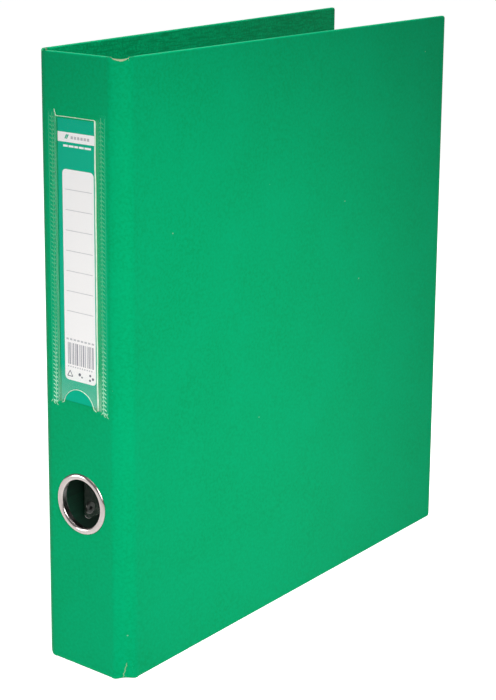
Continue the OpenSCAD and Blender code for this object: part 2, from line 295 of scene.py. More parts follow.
@dataclass(frozen=True)
class FoilFinish(Finish):
    """Matt embossed foil: fine leather grain, soft mottling, a few pale specks, and paler rims that are a
    painted highlight with pale flecks.
    """

    name: str = "embossed_foil"
    colour: Colour = (0.0, 0.385, 0.152)
    shade: Colour = (0.0, 0.330, 0.118)
    light: Colour = (0.0, 0.425, 0.185)
    # Paler green painted along the top, bottom and fore edges: a painted highlight.
    rim: Colour = (0.0, 0.47, 0.215)
    speck: Colour = (0.30, 0.56, 0.36)
    worn: Colour = (0.46, 0.53, 0.33)
    grain: float = 0.55
    mottle: float = 1.5
    depth: float = 0.05
    streak: float = 0.0
    height: float = 318.0

    def inputs(self, nodes: Nodes) -> Inputs:
        """Return colour, grain and gloss."""
        where = nodes.attribute(REST, "Vector")
        fine = nodes.noise(where, self.mottle, 3.0, 0.6)
        broad = nodes.noise(where, 40.0)
        colour = nodes.mix(nodes.span(fine, 0.36, 0.64), self.shade, self.colour)
        colour = nodes.mix(nodes.span(broad, 0.40, 0.75, 0.0, 0.25), colour, self.light)
        if self.streak > 0:
            lines = nodes.noise(nodes.drawn(where, (0.3, 0.09, 1.0)), 0.9, 3.0, 0.6)
            colour = nodes.mix(nodes.span(lines, 0.46, 0.62, 0.0, self.streak), colour, self.shade)
        # The rim mask marks the edge band that gets the painted highlight; pale flecks ride on it.
        rim = nodes.attribute("rim")
        rim_fleck = nodes.span(nodes.noise(where, 2.2, 3.0, 0.6), 0.55, 0.75)
        colour = nodes.mix(nodes.math("MULTIPLY", rim, 0.55), colour, self.rim)
        rim_fleck = nodes.math("MULTIPLY", nodes.math("MULTIPLY", rim, rim_fleck), 0.12)
        colour = nodes.mix(rim_fleck, colour, self.speck)
        cells = nodes.add("ShaderNodeTexVoronoi", {"Vector": where, "Scale": 55.0})
        spot = nodes.span(cells.outputs["Distance"], 0.018, 0.026, 0.75, 0.0)
        colour = nodes.mix(self.wear(nodes, where), nodes.mix(spot, colour, self.speck), self.worn)
        leather = nodes.add("ShaderNodeTexVoronoi", {"Vector": where, "Scale": 1 / (self.grain * MM)},
                            feature="SMOOTH_F1")
        height = nodes.math("ADD", leather.outputs["Distance"], nodes.noise(where, 0.35))
        return {"Base Color": colour, "Normal": nodes.bump(height, self.depth, 0.6),
                "Roughness": nodes.span(fine, 0.3, 0.7, 0.50, 0.62), "Specular IOR Level": 0.02}

    def wear(self, nodes: Nodes, where: Socket) -> Socket:
        """Return where the foil of a worn hinge has gone: a crescent at the top, a short split at the foot.

        Args:
            nodes: The tree to add to.
            where: The position that patterns follow.

        Returns:
            A mask that is 1 where the foil has worn through.
        """
        math_of = nodes.math
        across = nodes.attribute("across")
        worn = math_of("GREATER_THAN", across, ACROSS_ZERO / 2)
        off = math_of("SUBTRACT", across, ACROSS_ZERO)
        up = nodes.up(where)
        ragged = math_of("SUBTRACT", nodes.noise(where, 1.1, 3.0, 0.7), 0.5)
        share = math_of("DIVIDE", off, 5.2 * MM)
        bow = math_of("SUBTRACT", 1.0, math_of("MULTIPLY", share, share))
        reach = math_of("ADD", math_of("MULTIPLY", bow, 2.0 * MM), math_of("MULTIPLY", ragged, 2.2 * MM))
        over = math_of("ADD", math_of("SUBTRACT", up, self.height * MM), reach)
        crescent = nodes.span(over, 0.0, 0.25 * MM)
        wander = math_of("SUBTRACT", nodes.noise(nodes.vector(Z=up), 2.2, 4.0, 0.7), 0.5)
        centre = math_of("ADD", nodes.span(up, 1 * MM, 9 * MM, -1.0 * MM, 0.7 * MM),
                         math_of("MULTIPLY", wander, 3.6 * MM))
        gap = math_of("ABSOLUTE", math_of("SUBTRACT", off, centre))
        split = math_of("MULTIPLY", nodes.span(gap, 0.08 * MM, 0.28 * MM, 0.6, 0.0),
                        nodes.span(up, 8.4 * MM, 9.4 * MM, 1.0, 0.0))
        return math_of("MULTIPLY", worn, math_of("MAXIMUM", crescent, split))


@dataclass(frozen=True)
class LiningFinish(Finish):
    """Green lining paper with fine streaks along the cover; its dark green is painted shade, darker than the
    foil's own green.
    """

    name: str = "streaked_lining"
    colour: Colour = (0.002, 0.062, 0.030)
    streak: Colour = (0.002, 0.040, 0.020)

    def inputs(self, nodes: Nodes) -> Inputs:
        """Return colour, streaks and tooth."""
        where = nodes.attribute(REST, "Vector")
        streaks = nodes.noise(nodes.drawn(where, (0.2, 0.05, 1.0)), 0.8, 4.0, 0.6)
        height = nodes.math("ADD", streaks, nodes.noise(where, 0.25))
        return {"Base Color": nodes.mix(nodes.span(streaks, 0.35, 0.65), self.streak, self.colour),
                "Normal": nodes.bump(height, 0.03, 0.5), "Roughness": 0.7, "Specular IOR Level": 0.2}


@dataclass(frozen=True)
class BoardFinish(Finish):
    """Grey recycled board with flecks."""

    name: str = "flecked_board"
    colour: Colour = (0.40, 0.35, 0.27)
    fleck: Colour = (0.22, 0.19, 0.15)

    def inputs(self, nodes: Nodes) -> Inputs:
        """Return colour and fibre."""
        fibres = nodes.noise(nodes.coords(), 0.5, 4.0, 0.7)
        return {"Base Color": nodes.mix(nodes.span(fibres, 0.35, 0.6), self.fleck, self.colour),
                "Normal": nodes.bump(fibres, 0.06, 0.6), "Roughness": 0.9}


@dataclass(frozen=True)
class MetalFinish(Finish):
    """Bright nickel plate with faint rub marks."""

    name: str = "pressed_nickel"
    colour: Colour = (0.70, 0.69, 0.67)
    dull: Colour = (0.56, 0.55, 0.53)
    rough: float = 0.15
    spread: float = 0.06
    size: float = 2.0
    tooth: float = 0.25

    def inputs(self, nodes: Nodes) -> Inputs:
        """Return colour, roughness and fine lines."""
        where = nodes.coords()
        rub = nodes.noise(where, self.size, 4.0, 0.6)
        return {"Base Color": nodes.mix(nodes.span(rub, 0.35, 0.7), self.dull, self.colour),
                "Roughness": nodes.span(rub, 0.3, 0.7, self.rough, self.rough + self.spread),
                "Metallic": 1.0, "Normal": nodes.bump(nodes.noise(where, 0.3), 0.01, self.tooth)}


@dataclass(frozen=True)
class MouldedFinish(Finish):
    """Moulded black plastic with a fine spark-eroded texture."""

    name: str = "moulded_catch"
    colour: Colour = (0.022, 0.022, 0.024)
    rough: float = 0.45

    def inputs(self, nodes: Nodes) -> Inputs:
        """Return colour and texture."""
        texture = nodes.noise(nodes.coords(), 0.2)
        lighter = tuple(2.2 * c for c in self.colour)
        return {"Base Color": nodes.mix(nodes.span(texture, 0.3, 0.7), self.colour, lighter),
                "Normal": nodes.bump(texture, 0.02, 0.5), "Roughness": self.rough}


@dataclass(frozen=True)
class FilmFinish(Finish):
    """Clear film with a milky haze that grows downwards, and a painted reflection (more haze, a paler tint)
    where the film leans towards its welds, weaker on the front cover's side.
    """

    name: str = "clear_film"
    colour: Colour = (0.55, 0.72, 0.62)
    reflection_tint: Colour = (0.62, 0.80, 0.74)
    top: float = 0.004
    bottom: float = 0.14
    low_z: float = 143.0
    high_z: float = 162.0

    def inputs(self, nodes: Nodes) -> Inputs:
        """Return haze, colour and gloss."""
        where = nodes.coords()
        lean = nodes.attribute("lean")
        haze = nodes.span(nodes.up(where), self.low_z * MM, self.high_z * MM, self.bottom, self.top)
        # Where the film leans towards the welds, extra haze and a paler tint paint in a reflection.
        haze = nodes.math("ADD", haze, nodes.math("MULTIPLY", lean, 0.09))
        drift = nodes.span(nodes.noise(where, 12.0, 3.0), 0.3, 0.7, 0.75, 1.25)
        return {"Alpha": nodes.math("MULTIPLY", haze, drift, clamp=True),
                "Base Color": nodes.mix(lean, self.colour, self.reflection_tint),
                "Normal": nodes.bump(nodes.noise(where, 9.0), 0.05, 0.4),
                "Roughness": 0.22, "Specular IOR Level": 0.03}


@dataclass(frozen=True)
class EdgeFinish(Finish):
    """Cut, folded or welded film: pale where it is thick, and the foil's own green where it is thin; along
    the film's cut edges and front fold the pale colour is a painted highlight.
    """

    name: str = "film_edge_highlight"
    colour: Colour = (0.92, 0.97, 0.84)
    ground: Colour = (0.0, 0.37, 0.145)
    cover: float = 0.9
    top_cover: float = 0.85
    low_z: float = 150.0
    high_z: float = 285.0

    def inputs(self, nodes: Nodes) -> Inputs:
        """Return the colour, which may fade into the foil's with height."""
        where = nodes.coords()
        drift = nodes.span(nodes.noise(where, 3.0, 3.0), 0.3, 0.7, 0.75, 1.0)
        cover = nodes.span(nodes.up(where), self.low_z * MM, self.high_z * MM, self.cover, self.top_cover)
        return {"Base Color": nodes.mix(nodes.math("MULTIPLY", cover, drift), self.ground, self.colour),
                "Roughness": 0.3, "Specular IOR Level": 0.02}


@dataclass(frozen=True)
class PaperFinish(Finish):
    """Printed card or paper with a fine tooth."""

    name: str = "teal_card"
    colour: Colour = (0.0, 0.445, 0.265)
    tooth: float = 0.94

    def inputs(self, nodes: Nodes) -> Inputs:
        """Return colour and tooth."""
        fibres = nodes.noise(nodes.coords(), 0.7, 3.0, 0.6)
        darker = tuple(self.tooth * c for c in self.colour)
        return {"Base Color": nodes.mix(nodes.span(fibres, 0.35, 0.65), darker, self.colour),
                "Normal": nodes.bump(fibres, 0.01, 0.3), "Roughness": 0.55, "Specular IOR Level": 0.03}


@dataclass(frozen=True)
class FloorFinish(Finish):
    """Evenly lit white sweep."""

    name: str = "white_sweep"
    glow: float = 0.75

    def inputs(self, nodes: Nodes) -> Inputs:
        """Return colour and glow."""
        tooth = nodes.noise(nodes.coords(), 4.0)
        return {"Base Color": nodes.mix(nodes.span(tooth, 0.3, 0.7), (0.80, 0.80, 0.80), (0.82, 0.82, 0.82)),
                "Roughness": 1.0, "Specular IOR Level": 0.0, "Emission Color": (1.0, 1.0, 1.0),
                "Emission Strength": self.glow}


FOIL = FoilFinish()
# The turned-in foil is the same green as the outer foil; its colours are set lighter as painted light for the
# shaded inside. The streaks are its own.
BRIGHTENED_INNER_FOIL = FoilFinish(name="turned_foil", colour=(0.0, 0.48, 0.180), shade=(0.0, 0.29, 0.100),
                        light=(0.0, 0.50, 0.195), mottle=1.3, depth=0.10, streak=0.9)
# The lining's dark green is painted shade: the lining is the same green as the foil.
SHADED_LINING = LiningFinish()
BOARD = BoardFinish()
PLATE = MetalFinish()
WIRE = MetalFinish(name="bright_wire", colour=(0.76, 0.75, 0.73), dull=(0.64, 0.63, 0.61), rough=0.12,
                   size=3.0)
CHROME = MetalFinish(name="chromed_ring", colour=(0.46, 0.41, 0.395), dull=(0.41, 0.365, 0.35),
                     rough=0.12, spread=0.05, tooth=0.03)
# Rivets are rougher than the plate, and darkened as painted shade where they show in the dark behind the
# finger hole.
DARKENED_RIVET = MetalFinish(name="dull_rivet_painted_shade", colour=(0.34, 0.34, 0.33), dull=(0.28, 0.28, 0.27), rough=0.4)
# The sleeve is the ring's own nickel; its near-black colour is painted shade for the dark inside of the
# finger hole.
SHADED_SLEEVE = MetalFinish(name="ring_sleeve_painted_shade", colour=(0.10, 0.095, 0.09), dull=(0.07, 0.065, 0.06), rough=0.2)
CATCH = MouldedFinish()
ROLLER = MouldedFinish(name="moulded_roller", colour=(0.03, 0.03, 0.032), rough=0.35)
FILM = FilmFinish()
# The pale colour of the pocket's top edge, thumb cut and front fold is a painted highlight where the film's
# edges catch light.
FILM_EDGE_HIGHLIGHT = EdgeFinish()
WELD = EdgeFinish(name="weld_ridge", colour=(0.58, 0.84, 0.66), cover=0.66, top_cover=0.16, high_z=184.0)
RAIL = EdgeFinish(name="weld_rail", colour=(0.20, 0.70, 0.52), cover=0.15, top_cover=0.22)
WELD_BED = EdgeFinish(name="weld_bed", colour=(0.01, 0.42, 0.25), cover=0.5, top_cover=0.1)
FOLD = EdgeFinish(name="film_crease", colour=(0.50, 0.80, 0.70), cover=0.22, top_cover=0.12)
CARD = PaperFinish()
WHITE = PaperFinish(name="label_white", colour=(0.935, 0.92, 0.912), tooth=0.985)
GREY_INK = PaperFinish(name="ink_grey", colour=(0.55, 0.55, 0.57), tooth=0.9)
BAR_INK = PaperFinish(name="ink_bars", colour=(0.38, 0.38, 0.42), tooth=0.85)
DARK_INK = PaperFinish(name="ink_dark", colour=(0.12, 0.12, 0.16), tooth=0.8)


# ---------------------------------------------------------------- mesh kit

def tidy_mesh(mesh: bpy.types.Mesh) -> None:
    """Merge doubles and turn the faces outwards."""
    work = bmesh.new()
    work.from_mesh(mesh)
    bmesh.ops.remove_doubles(work, verts=work.verts, dist=1e-7)
    bmesh.ops.recalc_face_normals(work, faces=work.faces)
    work.to_mesh(mesh)
    work.free()


def piece_from(name: str, points: Sequence[Vector], faces: Sequence[Sequence[int]],
               finishes: Sequence[Finish], pick: Callable[[int], int] | None = None,
               smooth: bool = True) -> Piece:
    """Make an object from points and faces.

    Args:
        name: The piece's name.
        points: Vertices in metres in the file's frame.
        faces: Vertex numbers of each face.
        finishes: One finish for each material slot.
        pick: Gives a face's slot from its number.
        smooth: Whether faces are shaded smooth.

    Returns:
        The new object, linked to the scene.
    """
    mesh = bpy.data.meshes.new(name)
    mesh.from_pydata([tuple(p) for p in points], [], [list(f) for f in faces])
    for finish in finishes:
        mesh.materials.append(finish.material())
    for number, polygon in enumerate(mesh.polygons):
        polygon.material_index = pick(number) if pick else 0
        polygon.use_smooth = smooth
    tidy_mesh(mesh)
    made = bpy.data.objects.new(name, mesh)
    bpy.context.scene.collection.objects.link(made)
    return made


def bake(piece: Piece) -> Piece:
    """Turn the piece's modifiers into plain mesh."""
    graph = bpy.context.evaluated_depsgraph_get()
    graph.update()
    solid = bpy.data.meshes.new_from_object(piece.evaluated_get(graph), preserve_all_data_layers=True,
                                            depsgraph=graph)
    piece.modifiers.clear()
    old, piece.data = piece.data, solid
    solid.name = piece.name
    bpy.data.meshes.remove(old)
    return piece


def even_normals(piece: Piece, angle: float = 35.0) -> Piece:
    """Shade smooth up to an angle, with flat faces kept flat, and bake."""
    for polygon in piece.data.polygons:
        polygon.use_smooth = True
    piece.data.set_sharp_from_angle(angle=math.radians(angle))
    piece.modifiers.new("even", "WEIGHTED_NORMAL").keep_sharp = True
    return bake(piece)


def keep_rest(piece: Piece) -> Piece:
    """Store where each vertex lies at rest, so that patterns stay on the sheet when it bends."""
    mesh = piece.data
    spot = mesh.attributes.get(REST) or mesh.attributes.new(REST, "FLOAT_VECTOR", "POINT")
    spot.data.foreach_set("vector", [c for v in mesh.vertices for c in v.co])
    return piece


def mark(piece: Piece, name: str, value: Callable[[Vector], float]) -> Piece:
    """Store a value at each vertex, worked out from its place."""
    mesh = piece.data
    layer = mesh.attributes.get(name) or mesh.attributes.new(name, "FLOAT", "POINT")
    layer.data.foreach_set("value", [value(v.co) for v in mesh.vertices])
    return piece


def loft(rings: Sequence[Sequence[Vector]], closed: bool, caps: bool) -> Surface:
    """Join rings of equal length with quads.

    Args:
        rings: Rows of points.
        closed: Whether each row closes on itself.
        caps: Whether the first and last row are filled.

    Returns:
        The points and the faces.
    """
    count = len(rings[0])
    points = [p for ring in rings for p in ring]
    faces = []
    for row in range(len(rings) - 1):
        for i in range(count if closed else count - 1):
            j = (i + 1) % count
            a, b = row * count, (row + 1) * count
            faces.append([a + i, a + j, b + j, b + i])
    if caps:
        last = (len(rings) - 1) * count
        faces += [list(range(count)), [last + i for i in range(count)]]
    return points, faces


def arc(centre: Flat, radius: float, start: float, end: float, steps: int) -> list[Flat]:
    """Return points on an arc; angles are in degrees and both ends are included."""
    angles = [math.radians(start + (end - start) * i / steps) for i in range(steps + 1)]
    return [(centre[0] + radius * math.cos(a), centre[1] + radius * math.sin(a)) for a in angles]


def tube(path: Sequence[Vector], radius: float, sides: int = 24) -> Surface:
    """Sweep a circle along a path of points in metres; radius in millimetres."""
    rings, side = [], None
    for i, p in enumerate(path):
        ahead = (path[min(i + 1, len(path) - 1)] - path[max(i - 1, 0)]).normalized()
        if side is None:
            side = ahead.orthogonal().normalized()
        side = (side - ahead * side.dot(ahead)).normalized()
        up = ahead.cross(side)
        turns = [2 * math.pi * k / sides for k in range(sides)]
        rings.append([p + MM * radius * (math.cos(t) * side + math.sin(t) * up) for t in turns])
    return loft(rings, True, True)


def lathe(profile: Sequence[Flat], place: Place, along: Vector, segments: int = 96) -> Surface:
    """Turn a closed profile about an axis.

    Args:
        profile: Points (radius, height) in millimetres, as a closed loop.
        place: Its origin is on the axis.
        along: Unit vector of the axis, towards positive height.
        segments: Steps round the axis.

    Returns:
        The points and the faces of a closed ring.
    """
    side = along.orthogonal().normalized()
    up = along.cross(side)
    rings = []
    for k in range(segments + 1):
        t = 2 * math.pi * k / segments
        out = math.cos(t) * side + math.sin(t) * up
        rings.append([place.origin + MM * (r * out + h * along) for r, h in profile])
    return loft(rings, True, False)


def refined(node: str, name: str, finish: Finish, bevel: float, angle: float = 30.0) -> Piece:
    """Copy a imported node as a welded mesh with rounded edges.

    Args:
        node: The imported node.
        name: The new piece's name.
        finish: Its finish.
        bevel: Width of the rounding in millimetres.
        angle: Edges sharper than this many degrees are rounded.

    Returns:
        The new piece, which stands for the node.
    """
    mesh = frame["nodes"][node].data.copy()
    mesh.name = name
    mesh.materials.clear()
    mesh.materials.append(finish.material())
    work = bmesh.new()
    work.from_mesh(mesh)
    bmesh.ops.remove_doubles(work, verts=work.verts, dist=2e-6)
    bmesh.ops.dissolve_limit(work, angle_limit=math.radians(1.0), verts=work.verts, edges=work.edges)
    for face in work.faces:
        face.smooth = True
        face.material_index = 0
    work.to_mesh(mesh)
    work.free()
    made = bpy.data.objects.new(name, mesh)
    bpy.context.scene.collection.objects.link(made)
    if bevel > 0:
        rounding = made.modifiers.new("rounding", "BEVEL")
        rounding.width = bevel * MM
        rounding.segments = 2
        rounding.limit_method = "ANGLE"
        rounding.angle_limit = math.radians(angle)
        rounding.use_clamp_overlap = True
    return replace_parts(even_normals(made), node)


def settle(piece: Piece, body: str, slot: str, *nodes: str) -> Piece:
    """Let a piece ride on a body and say which nodes it stands for."""
    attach(piece, body)
    if nodes:
        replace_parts(piece, *nodes)
    log.info("%s rides on %s, %d faces", piece.name, body, len(piece.data.polygons))
    return piece


# ---------------------------------------------------------------- covers and spine

@dataclass
class Panel:
    """One covered board: an outer foil that wraps its edges, a lining inside and the board itself."""

    layout: Layout
    name: str
    body: str
    place: Place
    low: float
    high: float
    fore_edge: bool = False
    wrap_steps: int = 6
    corner_steps: int = 8
    sheet_t: float = 0.28

    def profile(self) -> list[Flat]:
        """Return the wrap's section as (inset, x): outer face, round edge, turned-in margin."""
        sheets = self.layout.sheets
        r = sheets.edge_round
        outer = arc((r, sheets.outer + r), r, 270, 180, self.wrap_steps)
        inner = [(inset, sheets.turned + sheets.outer - x) for inset, x in reversed(outer)]
        return outer + inner + [(sheets.turn_in, sheets.turned)]

    def finish_skin(self, points: list[Vector], faces: list[list[int]], inner: set[int]) -> Piece:
        """Give the wrap its thickness and finish."""
        skin = piece_from(f"{self.name}_skin", points, faces, [FOIL, BRIGHTENED_INNER_FOIL],
                          lambda n: 1 if n in inner else 0)
        thick = skin.modifiers.new("thickness", "SOLIDIFY")
        thick.thickness = self.sheet_t * MM
        thick.offset = -1.0
        return skin

    def dress(self, skin: Piece) -> None:
        """Bake the skin and mark its rim, the band where a highlight is painted."""
        even_normals(skin)
        keep_rest(skin)
        sheets, height = self.layout.sheets, self.layout.height
        turned = self.place.matrix().inverted()

        # The rim is the thin band along the edges where the foil gets a painted highlight.
        def rim(at: Vector) -> float:
            local = turned @ at
            inset = min(local.z, height * MM - local.z)
            if self.fore_edge:
                inset = min(inset, self.high * MM - local.y)
            through = sheets.outer * MM + 0.2 * MM < local.x
            return 1.0 if inset < 0.6 * MM and through else 0.0

        mark(skin, "rim", rim)
        settle(skin, self.body, "green_foil", f"{self.name}_foil")

    def lining(self) -> None:
        """Make the lining sheet between the turned-in margins."""
        sheets = self.layout.sheets
        margin = sheets.turn_in - 3.0
        high = self.high - margin if self.fore_edge else self.high
        rings, steps = [], 24
        for x in (sheets.turned - 0.25, sheets.lining - 0.05, sheets.lining):
            trim = 0.0 if x < sheets.lining else 0.05
            y0, y1 = self.low, high - trim
            z0, z1 = margin + trim, self.layout.height - margin - trim
            row = [(y0 + (y1 - y0) * i / steps, z0) for i in range(steps + 1)]
            row += [(y, z1) for y, _ in reversed(row)]
            rings.append([self.place.point(x, y, z) for y, z in row])
        points, faces = loft(rings, True, True)
        sheet = piece_from(f"{self.name}_lining_sheet", points, faces, [SHADED_LINING], smooth=False)
        self.pierce(sheet)
        keep_rest(bake(sheet))
        settle(sheet, self.body, "lining_paper", f"{self.name}_lining")

    def pierce(self, sheet: Piece) -> None:
        """Cut this panel's openings; a plain cover has none."""

    def build(self) -> None:
        """Make the panel's pieces."""
        self.skin()
        self.lining()
        board = frame["nodes"][f"{self.name}_board"]
        board.data.materials.clear()
        board.data.materials.append(BOARD.material())


@dataclass
class CoverPanel(Panel):
    """A cover: its foil wraps the top, the fore edge with its round corners, and the bottom."""

    fore_edge: bool = True

    def outline(self, inset: float) -> list[Flat]:
        """Return (y, z) from the fold along the bottom, round the fore edge and back along the top."""
        sheets, height = self.layout.sheets, self.layout.height
        radius = max(sheets.corner - inset, 0.0)
        centre_y = self.high - max(sheets.corner, inset)
        bottom = max(sheets.corner, inset)
        lower = arc((centre_y, bottom), radius, -90, 0, self.corner_steps)
        upper = arc((centre_y, height - bottom), radius, 0, 90, self.corner_steps)
        start = [(self.low, inset), (self.low + (self.high - self.low) / 2, inset)]
        end = [(y, height - inset) for y, _ in reversed(start)]
        return start + lower + upper + end

    def skin(self) -> None:
        """Make the foil that wraps the cover."""
        profile = self.profile()
        rings = [[self.place.point(x, y, z) for y, z in self.outline(inset)] for inset, x in profile]
        points, faces = loft(rings, False, False)
        per_ring = len(rings[0]) - 1
        inner = set(range(per_ring * (self.wrap_steps + 2), len(faces)))
        faces.append(list(range(len(rings[0]))))
        self.dress(self.finish_skin(points, faces, inner))


@dataclass
class SpinePanel(Panel):
    """The spine: its foil wraps the top and bottom, and the finger hole goes through it."""

    hole_z: float = 89.5
    hole_r: float = 13.4

    def skin(self) -> None:
        """Make the foil that wraps the spine."""
        height = self.layout.height
        profile = self.profile()
        path = [(x, inset) for inset, x in reversed(profile)]
        path += [(x, height - inset) for inset, x in profile]
        columns = [self.low + (self.high - self.low) * i / 8 for i in range(9)]
        rings = [[self.place.point(x, y, z) for x, z in path] for y in columns]
        points, faces = loft(rings, False, False)
        per_ring, turned = len(path) - 1, self.wrap_steps + 1
        inner = {n for n in range(len(faces)) if n % per_ring < turned or n % per_ring >= per_ring - turned}
        skin = self.finish_skin(points, faces, inner)
        self.pierce(skin)
        self.dress(skin)

    def pierce(self, sheet: Piece) -> None:
        """Cut the finger hole."""
        centre = self.place.raised(0, 0, self.hole_z)
        ring = arc((0.0, 0.0), self.hole_r, 0.0, 356.25, 95)
        rings = [[centre.point(x, y, z) for y, z in ring] for x in (-6, 8)]
        cutter = piece_from("finger_hole_cutter", *loft(rings, True, True), [FOIL])
        cut = sheet.modifiers.new("finger_hole", "BOOLEAN")
        cut.operation = "DIFFERENCE"
        cut.solver = "EXACT"
        cut.object = cutter
        bake(sheet)
        bpy.data.objects.remove(cutter)


@dataclass
class Hinge:
    """The foil and lining between the spine and a cover, with a soft fold at each end."""

    layout: Layout
    side: Side
    panel_reach: float = 2.6
    strip_reach: float = 3.0
    bend_steps: int = 10
    notch: float = 0.9
    inset: float = 0.15
    worn: bool = False
    levels: tuple[float, ...] = (0.0, 0.25, 0.6, 1.0, 1.5, 2.2, 4.0, 8.0, 15.0)

    def __post_init__(self) -> None:
        """Work out the directions of spine, strip and cover, and their outward sides."""
        sign, turn, splay = self.side.value, self.layout.turn, self.layout.splay
        self.along = [Vector((sign, 0)), Vector((sign * math.sin(turn), math.cos(turn))),
                      Vector((sign * math.sin(splay), math.cos(splay)))]
        self.out = [Vector((0, -1)), Vector((sign * math.cos(turn), -math.sin(turn))),
                    Vector((sign * math.cos(splay), -math.sin(splay)))]
        folds = (self.layout.inner_fold, self.layout.outer_fold)
        self.folds = [fold[self.side].to_2d() / MM for fold in folds]
        self.middle = (self.folds[0] + self.folds[1]) / 2

    def bend(self, k: int) -> list[Vector]:
        """Return the outer surface round fold k, from the panel before it to the panel after it."""
        before, after, half = k, k + 1, self.layout.sheets.half_strip
        n0, n1 = self.out[before], self.out[after]
        corner = self.folds[k] + half * (n0 + n1) / (1 + n0.dot(n1))
        reach = (self.panel_reach, self.strip_reach) if k == 0 else (self.strip_reach, self.panel_reach)
        start, end = corner - reach[0] * self.along[before], corner + reach[1] * self.along[after]
        steps = [i / self.bend_steps for i in range(self.bend_steps + 1)]
        return [(1 - t) ** 2 * start + 2 * t * (1 - t) * corner + t * t * end for t in steps]

    def inner_curve(self, k: int) -> list[Vector]:
        """Return the lining round fold k, from the strip to the panel's inner face."""
        sheets = self.layout.sheets
        panel, strip = (0, 1) if k == 0 else (2, 1)
        away = -self.along[0] if k == 0 else self.along[2]
        towards = self.along[1] if k == 0 else -self.along[1]
        end = self.folds[k] + sheets.seam * away - sheets.turned * self.out[panel]
        start = self.folds[k] + 1.6 * towards - sheets.half_strip * self.out[strip]
        handles = (start - 0.7 * towards, end - 0.8 * away)
        curve = []
        for i in range(9):
            t = i / 8
            curve.append((1 - t) ** 3 * start + 3 * t * (1 - t) ** 2 * handles[0]
                         + 3 * t * t * (1 - t) * handles[1] + t ** 3 * end)
        return curve

    def section(self, k: int) -> tuple[list[Vector], int]:
        """Return the closed section of the half at fold k, and how many of its points are outside."""
        sheets = self.layout.sheets
        panel = 0 if k == 0 else 2
        away = -self.along[0] if k == 0 else self.along[2]
        seam = self.folds[k] + sheets.seam * away + sheets.half_strip * self.out[panel]
        outer_mid = self.middle + sheets.half_strip * self.out[1]
        inner_mid = self.middle - sheets.half_strip * self.out[1]
        bend = self.bend(k)
        outer = [seam, *bend, outer_mid] if k == 0 else [seam, *reversed(bend), outer_mid]
        return outer + [inner_mid, *self.inner_curve(k)], len(outer)

    def ends(self, at: Vector) -> float:
        """Return how far the end of the strip is hollowed at a point of the section."""
        reach = self.layout.strip / 2 + 0.5
        share = min(abs((at - self.middle).dot(self.along[1])) / reach, 1.0)
        return self.inset + self.notch * (1 - share * share)

    def half(self, k: int, name: str, bodies: tuple[str, str], *nodes: str) -> None:
        """Make one half of the hinge, which bends over fold k."""
        section, outer_count = self.section(k)
        height = self.layout.height
        span = [*self.levels, height / 2, *(height - z for z in reversed(self.levels))]
        rings = []
        for z in span:
            fade = max(0.0, 1 - min(z, height - z) / self.levels[-1]) * (1 if z < height / 2 else -1)
            rings.append([Vector((at.x * MM, at.y * MM, (z + self.ends(at) * fade) * MM)) for at in section])
        points, faces = loft(rings, True, True)
        count = len(section)
        turn_in = self.layout.sheets.turn_in
        turned_rows = [z < turn_in or z >= height - turn_in for z in span]

        def pick(number: int) -> int:
            if number >= count * (len(rings) - 1):
                return 0
            row, column = divmod(number, count)
            if column < outer_count:
                return 0
            return 1 if turned_rows[row] and turned_rows[row + 1] else 2

        piece = piece_from(name, points, faces, [FOIL, BRIGHTENED_INNER_FOIL, SHADED_LINING], pick)
        self.round_ends(piece)
        even_normals(piece, 40.0)
        keep_rest(piece)
        mark(piece, "across", self.across)
        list(bodies)
        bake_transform(piece)
        if nodes:
            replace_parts(piece, *nodes)
        log.info("%s bends between %s and %s", name, *bodies)

    def round_ends(self, piece: Piece) -> None:
        """Round the outer edges of both ends."""
        work = bmesh.new()
        work.from_mesh(piece.data)
        edges = []
        for edge in work.edges:
            if len(edge.link_faces) != 2:
                continue
            flat = [abs(f.normal.z) > 0.6 for f in edge.link_faces]
            if flat[0] == flat[1]:
                continue
            side = edge.link_faces[0 if flat[1] else 1]
            middle = (edge.verts[0].co + edge.verts[1].co).to_2d() / 2 / MM
            inner_cap = abs((middle - self.middle).dot(self.along[1])) < 0.01
            seam_cap = len(side.verts) == 4 and self.is_seam(side)
            if not inner_cap and not seam_cap:
                edges.append(edge)
        bmesh.ops.bevel(work, geom=edges, offset=0.22 * MM, segments=2, affect="EDGES", clamp_overlap=True)
        work.to_mesh(piece.data)
        work.free()

    def is_seam(self, face: bmesh.types.BMFace) -> bool:
        """Say whether a face closes the piece against a panel."""
        return any(abs(abs(face.normal.to_2d().dot(self.along[p])) - 1) < 0.02 for p in (0, 2)) and all(
            min((v.co.to_2d() / MM - self.folds[k]).length for k in (0, 1)) > self.layout.sheets.seam - 0.05
            for v in face.verts)

    def across(self, at: Vector) -> float:
        """Return how far across the strip a point lies, plus a fixed step; 0 where the hinge isn't worn."""
        flat = at.to_2d() - self.middle * MM
        return ACROSS_ZERO + flat.dot(self.along[1]) if self.worn and flat.dot(self.out[1]) > 0 else 0.0

    def build(self) -> None:
        """Make both halves."""
        word = self.side.word
        self.half(0, f"{word}_hinge_at_spine", ("spine", f"{word}_strip"), f"{word}_hinge_strip")
        self.half(1, f"{word}_hinge_at_cover", (f"{word}_strip", f"{word}_cover"))


# ---------------------------------------------------------------- finger ring

